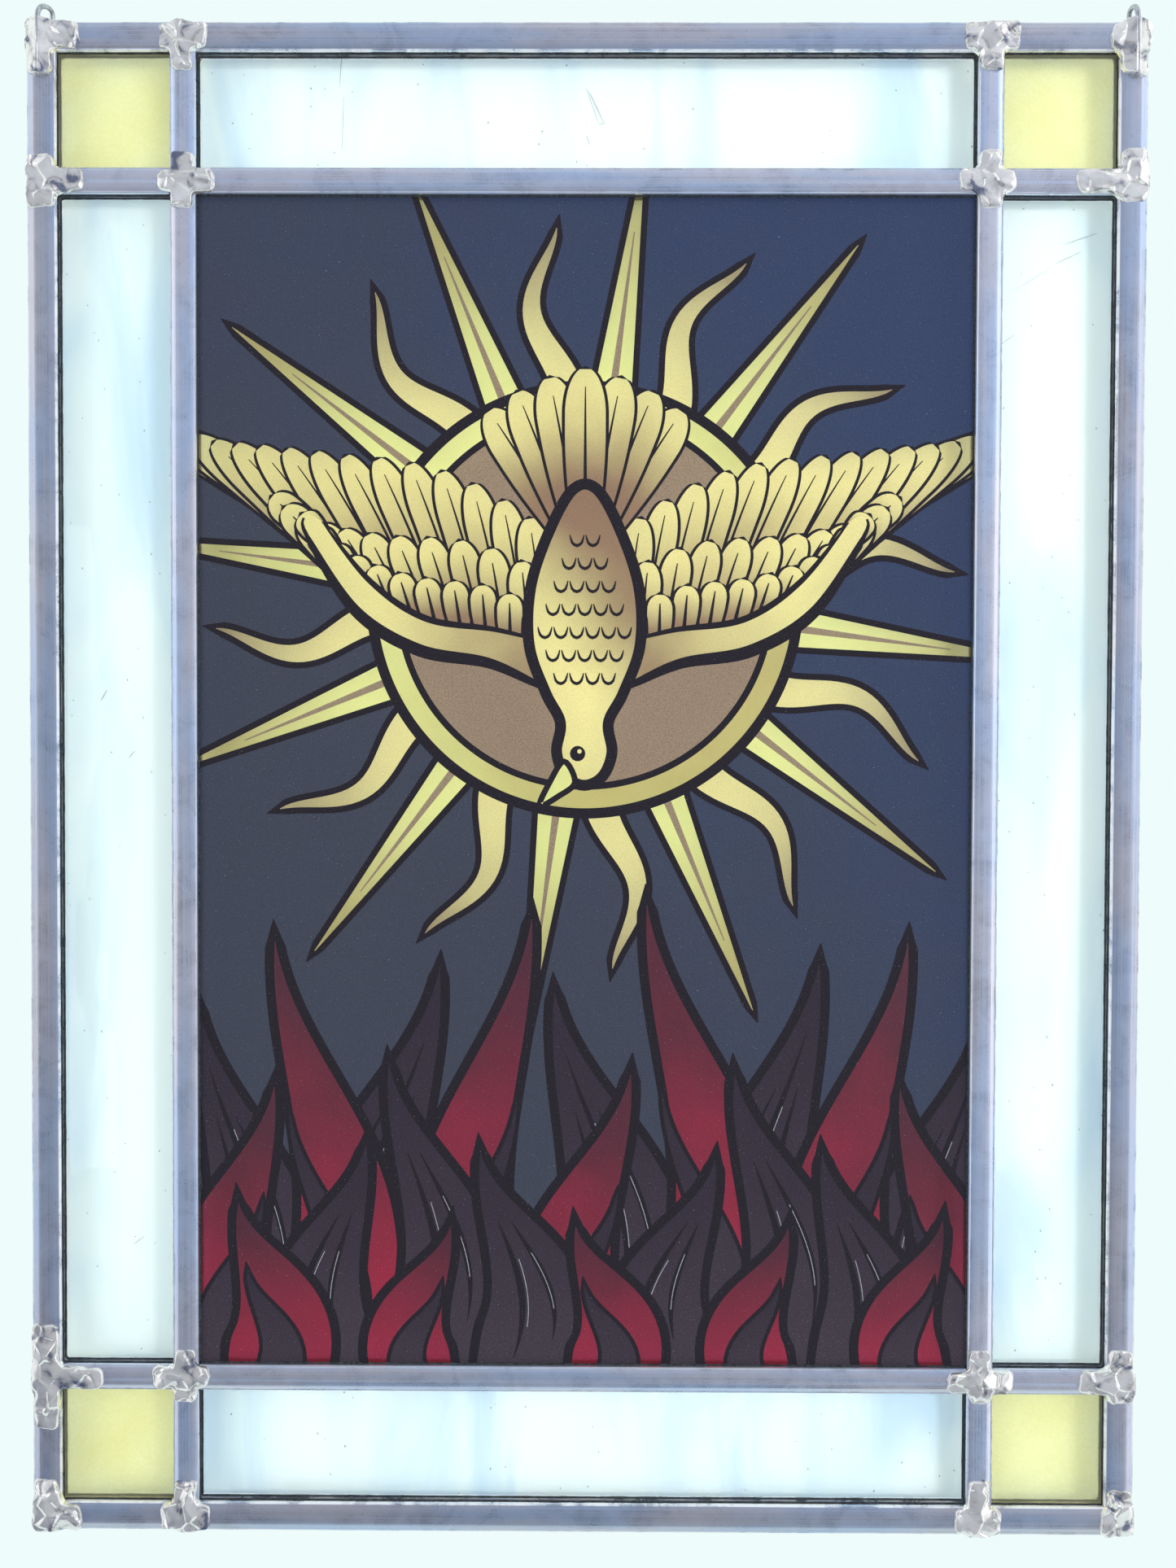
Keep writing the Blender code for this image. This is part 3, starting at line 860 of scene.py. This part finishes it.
def painted_pane(name, low, high, finishes, back_finish):
    """A closed pane whose front is parted along the edges of its paint."""
    middle = (low + high) / 2
    corners, outlines = [], []
    for outline, paint, shade in painted:
        first = len(corners)
        corners += [Vector(place) for place in outline]
        outlines.append(list(range(first, len(corners))))
    flat, _, triangles, _, _, sources = geometry.delaunay_2d_cdt(corners, [], outlines, 0, 0.01, True)
    work = bmesh.new()
    verts = {}
    shades = work.loops.layers.float.new("shade")
    for triangle, source in zip(triangles, sources):
        if 0 not in source:
            continue
        for index in triangle:
            if index not in verts:
                across, up = flat[index] * MM
                verts[index] = work.verts.new((middle.x + across, low.y, middle.z + up))
        face = work.faces.new([verts[index] for index in triangle])
        outline, paint, shade = painted[max(source)]
        face.material_index = list(finishes).index(paint)
        for loop, index in zip(face.loops, triangle):
            loop[shades] = shade_at(flat[index], shade)
    rim = [edge for edge in work.edges if len(edge.link_faces) == 1]
    grown = bmesh.ops.extrude_edge_only(work, edges=rim)["geom"]
    back_verts = [item for item in grown if isinstance(item, bmesh.types.BMVert)]
    back_edges = [item for item in grown if isinstance(item, bmesh.types.BMEdge)]
    for vert in back_verts:
        vert.co.y = high.y
    back_rim = [edge for edge in back_edges if all(vert in back_verts for vert in edge.verts)]
    back = bmesh.ops.contextual_create(work, geom=back_rim)["faces"]
    for face in back + [item for item in grown if isinstance(item, bmesh.types.BMFace)]:
        face.material_index = len(finishes)
    bmesh.ops.recalc_face_normals(work, faces=work.faces)
    return built(name, work, *finishes.values(), back_finish)


def paint_finish(name, lit, shaded, passing, roughness, grain_share):
    """A fired paint or stain: brushed and grainy, and see-through as far as light passes it."""
    finish, tree, shader = principled(
        f"{name}_paint", Transmission_Weight=passing, Roughness=roughness, IOR=1.5, Specular_IOR_Level=0.22
    )
    specks = clouds(tree, 2600.0, 3.0, 0.6)
    drift = reckon(tree, "MULTIPLY_ADD", clouds(tree, 42.0, 4.0), 0.5, attribute(tree, "shade"))
    share = stretch(tree, drift, 0.20, 1.20, interpolation_type="SMOOTHSTEP")
    body = mixed(tree, share, (*lit, 1), (*shaded, 1))
    thin = ramp(tree, specks, (0.38, 1 - grain_share), (0.56, 1.0))
    glints = ramp(tree, specks, (0.68, 0.0), (0.76, 0.40))
    speckled = mixed(tree, 1.0, body, thin, blend_type="MULTIPLY")
    feed(shader, Base_Color=mixed(tree, 1.0, speckled, glints, blend_type="ADD"))
    strokes = clouds(tree, 520.0, 4.0, distortion=1.4, place=object_place(tree, (1, 1, 0.35)))
    bump(tree, shader, strokes, 0.00016, 0.2 + (1 - passing) * 0.5)
    return finish


ground(-PANE_HALF.z, PANE_HALF.z, "slate", (-60, 0, 110, 120))
for index in range(RAY_COUNT):
    if index != HIDDEN_RAY:
        sun_ray(math.tau * (index + 0.5) / RAY_COUNT, index % 2)
for radius, paint in SUN_RINGS:
    fill(circle(SUN, radius), paint, (-30, 90, 50, 0) if paint == "yellow" else None)
for mirror in (1, -1):
    wing(mirror)
dove_body()
ground(-PANE_HALF.z, SMOKE_TOP, "plum")
for x, height, width, sway, paint, veins in TONGUE_ROWS:
    tongue(x, height, width, sway, paint, TONGUE_RIM, veins)
    if paint == "crimson":
        tongue(x + sway * 0.2, height * 0.6, width * 0.42, sway * 0.8, "plum", CORE_RIM)

finishes = {name: paint_finish(name, *values) for name, values in PAINTS.items()}
pane_back, tree, shader = principled("pane_back", Transmission_Weight=1.0, Roughness=0.08, IOR=1.5)
haze = clouds(tree, 30.0, 4.0)
feed(shader, Base_Color=ramp(tree, haze, (0.35, (0.90, 0.95, 0.93)), (0.65, (0.97, 1.0, 0.98))))
picture = painted_pane("picture_pane", pane_low, pane_high, finishes, pane_back)
picture.visible_shadow = False
settle(picture, "picture_glass", "picture_glass")


# Solder joints
# A tinned joint where cames meet, front and back. The solder was melted on with an iron and
# cooled in smooth, tilted plates with bevelled rims. The loops' long legs lie in a ridge of it.

COLUMNS = {
    "left": "border_came_left",
    "midleft": "inner_came_left",
    "midright": "inner_came_right",
    "right": "border_came_right",
}
ROWS = {
    "top": "border_came_top",
    "upper": "inner_came_top",
    "lower": "inner_came_bottom",
    "bottom": "border_came_bottom",
}
FRONT_NET = (200, 46)
BACK_NET = (112, 24)
SOLDER_REACH = 0.018
SIDE_SHIFT = 0.05
WELD = 0.000002
SOLDER_RIM_DEPTH = 0.0022
SOLDER_SHELF = 0.00372
SOLDER_DOME = 0.00045
SOLDER_DOME_REACH = 0.002
SOLDER_LEAST = 0.00344
SOLDER_MOST = 0.00455
SOLDER_EDGE = 0.0005
SOLDER_LAP = -0.00005
SOLDER_CORNER = 0.0022
SOLDER_FILLET = 0.0024
PLATE_SIZE = 0.0050
PLATE_LEAN = 0.0019
PLATE_STEP = 0.00026
PLATE_JOIN = 0.10
PLATE_SCATTER = 7.3
PLATE_TURNS = (Vector((9.3, -1.5, -8.0)), Vector((-3.7, 5.1, 11.9)), Vector((6.2, 13.4, -2.6)))
BEVEL_LEAST = 0.00025
BEVEL_SPREAD = 0.0024
BEVEL_SIZE = 0.0038
BEVEL_SLOPE = 0.50
RIM_WOBBLE = 0.00035
RIM_WOBBLE_SIZE = 0.0019
RIM_DRIFT = 0.0010
RIM_DRIFT_SIZE = 0.0055
RIM_DRIFT_BIAS = 0.25
REACH_HALVINGS = 14
RING_CROWDING = 1.4
WIRE_RADIUS = 0.00065
LEG_RIDGE_TOP = 0.00548
LEG_RIDGE_SLOPE = 0.52
LEG_GROOVE_DEPTH = 0.00042
LEG_GROOVE_HALF = 0.00028
LEG_PIT_DEPTH = 0.0006
LEG_PIT_RADIUS = 0.0007

panel_low, panel_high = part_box("border_came_left")
panel_high.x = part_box("border_came_right")[1].x


def from_bar(place, low, high):
    """Signed distance from a flat bar with rounded corners, below zero inside it."""
    across = max(low.x - place.x, place.x - high.x) + SOLDER_CORNER
    up = max(low.z - place.z, place.z - high.z) + SOLDER_CORNER
    return math.hypot(max(across, 0), max(up, 0)) + min(max(across, up), 0) - SOLDER_CORNER


def from_joint(place, low, high, middle, half_widths):
    """Signed distance from the two crossed arms of a joint, with solder drawn into their corners."""
    across, up = half_widths
    level = from_bar(place, Vector((low.x, 0, middle.z - up)), Vector((high.x, 0, middle.z + up)))
    upright = from_bar(place, Vector((middle.x - across, 0, low.z)), Vector((middle.x + across, 0, high.z)))
    blend = max(SOLDER_FILLET - abs(level - upright), 0) / SOLDER_FILLET
    wobble = RIM_WOBBLE * abs(noise.noise(place / RIM_WOBBLE_SIZE))
    drift = RIM_DRIFT * max(noise.noise(place / RIM_DRIFT_SIZE) + RIM_DRIFT_BIAS, 0)
    return min(level, upright) - blend**2 * SOLDER_FILLET / 4 + wobble + drift


def plates(place):
    """How far the skin stands proud where it cooled in tilted plates that meet in narrow steps."""
    distances, centres = noise.voronoi(place / PLATE_SIZE)
    heights = []
    for centre in centres[:2]:
        lean = Vector(noise.noise(centre * PLATE_SCATTER + turn) for turn in PLATE_TURNS)
        away = place / PLATE_SIZE - centre
        heights.append(PLATE_LEAN * (lean.x * away.x + lean.z * away.z) + PLATE_STEP * lean.y)
    mix = 0.5 * (1 - min((distances[1] - distances[0]) / PLATE_JOIN, 1))
    return heights[0] * (1 - mix) + heights[1] * mix


def solder_height(place, inside, leg):
    """How far the solder stands from the panel's middle, at a distance inside its rim."""
    steep = math.sqrt(1 - (1 - min(inside / SOLDER_EDGE, 1)) ** 2)
    shelf = SOLDER_SHELF + SOLDER_DOME * (1 - math.exp(-inside / SOLDER_DOME_REACH))
    bevel = BEVEL_LEAST + BEVEL_SPREAD * max(noise.noise(place / BEVEL_SIZE), 0)
    top = shelf + plates(place) - BEVEL_SLOPE * max(bevel - inside, 0)
    top = min(max(top, SOLDER_LEAST), SOLDER_MOST)
    if leg is not None:
        beside = abs(place.x - leg.x)
        past_foot = max(leg.z - place.z, 0)
        top = max(top, LEG_RIDGE_TOP - LEG_RIDGE_SLOPE * math.hypot(beside, past_foot))
        top -= LEG_GROOVE_DEPTH * math.exp(-((beside / LEG_GROOVE_HALF) ** 2))
        from_pit = math.hypot(beside, place.z - leg.z + LEG_PIT_RADIUS) / LEG_PIT_RADIUS
        top -= LEG_PIT_DEPTH * math.exp(-(from_pit**2))
    return SOLDER_RIM_DEPTH + (top - SOLDER_RIM_DEPTH) * steep


def leg_foot(column):
    """Where a hanging loop's long leg ends. It is the leg further left in both loops."""
    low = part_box(f"hanging_loop_{column}")[0]
    return Vector((low.x + WIRE_RADIUS, 0, low.z))


def solder_joint(name, side, middle, half_widths, leg, finish):
    """A skin of rings and spokes over a joint, closed behind by one sunken face."""
    low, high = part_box(name)
    spokes, ring_count = FRONT_NET if side < 0 else BACK_NET
    seed = Vector((0, side * SIDE_SHIFT, 0))
    work = bmesh.new()
    rims = []
    for spoke in range(spokes):
        angle = math.tau * spoke / spokes
        outward = Vector((math.cos(angle), 0, math.sin(angle)))
        near, far = 0.0, SOLDER_REACH
        for halving in range(REACH_HALVINGS):
            reach = (near + far) / 2
            inside = from_joint(middle + outward * reach + seed, low, high, middle, half_widths) < 0
            near, far = (reach, far) if inside else (near, reach)
        rims.append(outward * near)
    rings = []
    for ring_index in range(ring_count + 1):
        share = 1 - (1 - ring_index / ring_count) ** RING_CROWDING
        ring = []
        for rim in rims if ring_index else rims[:1]:
            place = middle + rim * share
            place.x = min(max(place.x, panel_low.x), panel_high.x)
            place.z = min(max(place.z, panel_low.z), panel_high.z)
            inside = max(-from_joint(place + seed, low, high, middle, half_widths), 0)
            place.y = side * solder_height(place + seed, inside, leg)
            ring.append(work.verts.new(place))
        rings.append(ring)
    for spoke in range(spokes):
        after = (spoke + 1) % spokes
        work.faces.new((rings[0][0], rings[1][spoke], rings[1][after]))
        for inner, outer in zip(rings[1:], rings[2:]):
            work.faces.new((inner[spoke], outer[spoke], outer[after], inner[after]))
    work.faces.new(rings[-1])
    bmesh.ops.remove_doubles(work, verts=work.verts, dist=WELD)
    bmesh.ops.recalc_face_normals(work, faces=work.faces)
    joint = built(name.replace("solder", "joint"), work, finish)
    smooth(joint.data, 60)
    settle(joint, "solder", name)


solder, tree, shader = principled("bright_solder", Metallic=0.78)
cooled = clouds(tree, 210.0, 5.0, distortion=0.8)
feed(
    shader,
    Base_Color=ramp(
        tree,
        cooled,
        (0.34, (0.22, 0.24, 0.33)),
        (0.40, (0.66, 0.63, 0.60)),
        (0.47, (0.90, 0.86, 0.815)),
        (0.62, (0.98, 0.94, 0.89)),
    ),
    Roughness=stretch(tree, cooled, 0.35, 0.65, 0.08, 0.20),
)
bump(tree, shader, cooled, 0.00005, 0.4)

for side_word, side in (("front", -1), ("back", 1)):
    for row, level_came in ROWS.items():
        for column, upright_came in COLUMNS.items():
            upright_low, upright_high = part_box(upright_came)
            level_low, level_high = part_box(level_came)
            middle = Vector(((upright_low.x + upright_high.x) / 2, 0, (level_low.z + level_high.z) / 2))
            half_widths = (
                (upright_high.x - upright_low.x) / 2 + SOLDER_LAP,
                (level_high.z - level_low.z) / 2 + SOLDER_LAP,
            )
            has_loop = side < 0 and row == "top" and column in ("left", "right")
            leg = leg_foot(column) if has_loop else None
            solder_joint(f"{side_word}_solder_{row}_{column}", side, middle, half_widths, leg, solder)


# Glazing cement
# A dark putty that was pushed under the leaves to seal the glass. A thin, uneven line of it
# shows along every came, round each pane, front and back.

BEAD_RADIUS = 0.00028
BEAD_OVERLAP = -0.00004
BEAD_STEP = 0.0011
NEAR = 0.0001

bead_tree, given = geometry_tree(
    "cement_bead",
    Width=0.1,
    Height=0.1,
    Centre="Vector",
    Radius=BEAD_RADIUS,
    Step=BEAD_STEP,
    Finish="Material",
)
sizes = {"Width": given["Width"], "Height": given["Height"]}
outline = node(bead_tree, "GeometryNodeCurvePrimitiveQuadrilateral", sizes).outputs["Curve"]
round_pane = resampled(bead_tree, placed(bead_tree, outline, given["Centre"], UPENDED), given["Step"])
thickness = stretch(bead_tree, clouds(bead_tree, 260.0, 3.0, 0.7), 0.25, 0.75, 0.70, 1.30)
section = node(bead_tree, "GeometryNodeCurvePrimitiveCircle", {"Resolution": 8, "Radius": given["Radius"]})
sweep = {"Curve": round_pane, "Profile Curve": section.outputs["Curve"]}
bead = node(bead_tree, "GeometryNodeCurveToMesh", sweep)
bead_tree.links.new(thickness, bead.inputs["Scale"])
end_tree(bead_tree, bead.outputs["Mesh"], given["Finish"])

cement, tree, shader = principled("glazing_cement", Roughness=0.85)
putty = clouds(tree, 1100.0, 4.0)
feed(shader, Base_Color=ramp(tree, putty, (0.35, (0.012, 0.014, 0.016)), (0.7, (0.06, 0.07, 0.075))))
bump(tree, shader, putty, 0.0001)

uprights = [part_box(name) for name in COLUMNS.values()]
levels = [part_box(name) for name in ROWS.values()]
for pane_name in sorted(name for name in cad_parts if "glass" in name):
    low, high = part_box(pane_name)
    left = max(came_high.x for came_low, came_high in uprights if came_low.x < low.x + NEAR)
    right = min(came_low.x for came_low, came_high in uprights if came_high.x > high.x - NEAR)
    bottom = max(came_high.z for came_low, came_high in levels if came_low.z < low.z + NEAR)
    top = min(came_low.z for came_low, came_high in levels if came_high.z > high.z - NEAR)
    for side_word, face in (("front", low.y), ("back", high.y)):
        line = made_by(
            bead_tree,
            f"{side_word}_cement_{pane_name.replace('_glass', '')}",
            Width=right - left + 2 * BEAD_OVERLAP,
            Height=top - bottom + 2 * BEAD_OVERLAP,
            Centre=Vector(((left + right) / 2, face, (top + bottom) / 2)),
            Finish=cement,
        )
        line.data.shade_smooth()
        settle(line, "cement")


# Hanging loops
# Two lengths of tinned copper wire, bent back over the top edge at the corners. The long leg of
# each lies in a ridge of solder down the front, and the short leg stands on top of the edge.

WIRE_DEPTH = 0.0046
WIRE_FOOT_DEPTH = 0.0042
WIRE_BOW = 0.0002
LONG_LEG_STEADY = (0.0030, 0.0012)
SHORT_LEG_DEPTH = 0.0010
SHORT_LEG_STEADY = (0.0015, 0.0001)
LOOP_ARC_STEPS = 24

wire, tree, shader = principled("tinned_wire", Metallic=1.0, Roughness=0.3)
tinning = clouds(tree, 900.0, 4.0)
feed(shader, Base_Color=ramp(tree, tinning, (0.35, (0.34, 0.35, 0.38)), (0.6, (0.58, 0.59, 0.62))))
bump(tree, shader, tinning, 0.00004, 0.6)

for column in ("left", "right"):
    name = f"hanging_loop_{column}"
    low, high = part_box(name)
    long_x, short_x = low.x + WIRE_RADIUS, high.x - WIRE_RADIUS
    top_edge = panel_high.z
    arch_rise = high.z - WIRE_RADIUS - top_edge
    long_leg = Vector((long_x, -WIRE_DEPTH, 0))
    short_leg = Vector((short_x, SHORT_LEG_DEPTH, 0))
    crown_share = WIRE_DEPTH / (WIRE_DEPTH + SHORT_LEG_DEPTH)
    points = [
        Vector((long_x, -WIRE_FOOT_DEPTH, low.z)),
        Vector((long_x + WIRE_BOW, -(WIRE_FOOT_DEPTH + WIRE_DEPTH) / 2, (low.z + top_edge) / 2)),
    ]
    points += [long_leg + UP * (top_edge - below) for below in LONG_LEG_STEADY]
    for step in range(LOOP_ARC_STEPS + 1):
        turn = math.pi * step / LOOP_ARC_STEPS
        climbing = turn < math.pi / 2
        run = crown_share if climbing else 1 - crown_share
        drop = arch_rise if climbing else SHORT_LEG_DEPTH
        place = long_leg.lerp(short_leg, crown_share - run * math.cos(turn))
        place.z = top_edge + arch_rise - drop * (1 - math.sin(turn))
        points.append(place)
    points += [short_leg + UP * (top_edge + above) for above in SHORT_LEG_STEADY]
    curve = bpy.data.curves.new(name, "CURVE")
    curve.dimensions = "3D"
    curve.bevel_depth = WIRE_RADIUS
    curve.bevel_resolution = 5
    curve.use_fill_caps = True
    spline = curve.splines.new("NURBS")
    spline.points.add(len(points) - 1)
    for target, place in zip(spline.points, points):
        target.co = (*place, 1)
    spline.order_u = 4
    spline.use_endpoint_u = True
    spline.resolution_u = 3
    bent = put_up(f"bent_wire_{column}", curve)
    mesh = plain_mesh(bent)
    bpy.data.objects.remove(bent)
    mesh.materials.clear()
    mesh.materials.append(wire)
    smooth(mesh, 50)
    settle(put_up(f"wire_loop_{column}", mesh), "tinned_wire", name)


# Stage
# A pale floor far below the hanging panel, and a pale card close behind it that shows only
# through the glass, as the wall does behind a panel that hangs on it.

FLOOR_COLOUR = (0.86, 0.92, 0.92)
FLOOR_DROP = 1.6
FLOOR_HALF = 1.1
CARD_COLOUR = (0.90, 0.965, 0.945)
CARD_HALF = 0.42
CARD_GAP = 0.0068


def stage_square(name, half_side, place, paint):
    work = bmesh.new()
    bmesh.ops.create_grid(work, x_segments=1, y_segments=1, size=half_side)
    bmesh.ops.transform(work, matrix=place, verts=work.verts)
    made = built(name, work, paint)
    made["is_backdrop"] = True
    return made


middle = (cad_low + cad_high) / 2
floor_paint, tree, shader = principled("floor_paint", Base_Color=FLOOR_COLOUR, Roughness=0.9)
stage_square("floor", FLOOR_HALF, Matrix.Translation((0, 0, -FLOOR_DROP)), floor_paint)
card_paint, tree, shader = principled("card_paint", Base_Color=CARD_COLOUR, Roughness=0.9)
card_place = Matrix.Translation((middle.x, CARD_GAP, middle.z)) @ Matrix.Rotation(UPENDED[0], 4, "X")
card = stage_square("card", CARD_HALF, card_place, card_paint)
for ray in ("camera", "diffuse", "glossy", "shadow", "volume_scatter"):
    setattr(card, f"visible_{ray}", False)


# Light and camera
# An even pale sky shows all round, and a darker, cooler room with two tall windows is reflected in
# the front. Soft boxes stand at the right, above and at the left. The camera has the photo's view.

SKY_COLOUR = (0.855, 0.973, 0.965)
WINDOW_LIGHT = 0.8
WINDOWS = ((0.02, 0.07, 0.17, 0.22), (0.75, 0.80, 0.90, 0.95))
SOFT_BOXES = {
    # place, size and power
    "key": ((0.60, -0.84, -0.08), 0.16, 2.1),
    "top": ((0.1, -0.6, 0.75), 0.5, 0.6),
    "fill": ((-0.9, -0.9, -0.3), 0.8, 2.9),
}
CAMERA_PLACE = (0.0026, -0.3316, -0.2016)
CAMERA_TURN = (88.955, -0.189, 0.275)
CAMERA_LENS = 28

world = bpy.data.worlds.new("studio")
bpy.context.scene.world = world
world.use_nodes = True
tree = world.node_tree
direction = node(tree, "ShaderNodeTexCoord").outputs["Generated"]
parts = node(tree, "ShaderNodeSeparateXYZ", {"Vector": direction}).outputs
tilt = reckon(tree, "MULTIPLY_ADD", parts["Z"], 0.5, reckon(tree, "MULTIPLY", parts["X"], 0.36))
room = ramp(
    tree,
    stretch(tree, tilt, -0.7, 0.8),
    (0.0, (0.05, 0.07, 0.12)),
    (0.18, (0.12, 0.15, 0.23)),
    (0.30, (0.32, 0.35, 0.40)),
    (0.50, (0.42, 0.46, 0.54)),
    (0.66, (0.53, 0.59, 0.71)),
    (1.0, (0.95, 0.97, 1.0)),
)
window_stops = [stop for stops in WINDOWS for stop in zip(stops, (0.0, WINDOW_LIGHT, WINDOW_LIGHT, 0.0))]
windows = ramp(tree, stretch(tree, parts["X"], -1.0, 1.0), *window_stops)
lit_room = mixed(tree, 1.0, room, windows, blend_type="ADD")
behind_camera = stretch(tree, parts["Y"], -0.05, -0.45, interpolation_type="SMOOTHSTEP")
ray = node(tree, "ShaderNodeLightPath").outputs
straight = reckon(tree, "MAXIMUM", ray["Is Camera Ray"], ray["Is Transmission Ray"])
in_room = reckon(tree, "SUBTRACT", behind_camera, straight, use_clamp=True)
feed(tree.nodes["Background"], Color=mixed(tree, in_room, (*SKY_COLOUR, 1), lit_room))

for name, (place, size, power) in SOFT_BOXES.items():
    lamp = bpy.data.lights.new(name, "AREA")
    lamp.size = size
    lamp.energy = power
    soft_box = put_up(name, lamp)
    soft_box.location = place
    soft_box.rotation_euler = (middle - Vector(place)).to_track_quat("-Z", "Y").to_euler()
    soft_box.visible_glossy = False

camera = put_up("camera", bpy.data.cameras.new("camera"))
camera.data.lens = CAMERA_LENS
camera.location = CAMERA_PLACE
camera.rotation_euler = [math.radians(angle) for angle in CAMERA_TURN]
bpy.context.scene.camera = camera
bpy.context.scene.view_settings.view_transform = "Standard"


for section_object in (edge_section, inner_section):
    bpy.data.objects.remove(section_object)
low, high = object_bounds()
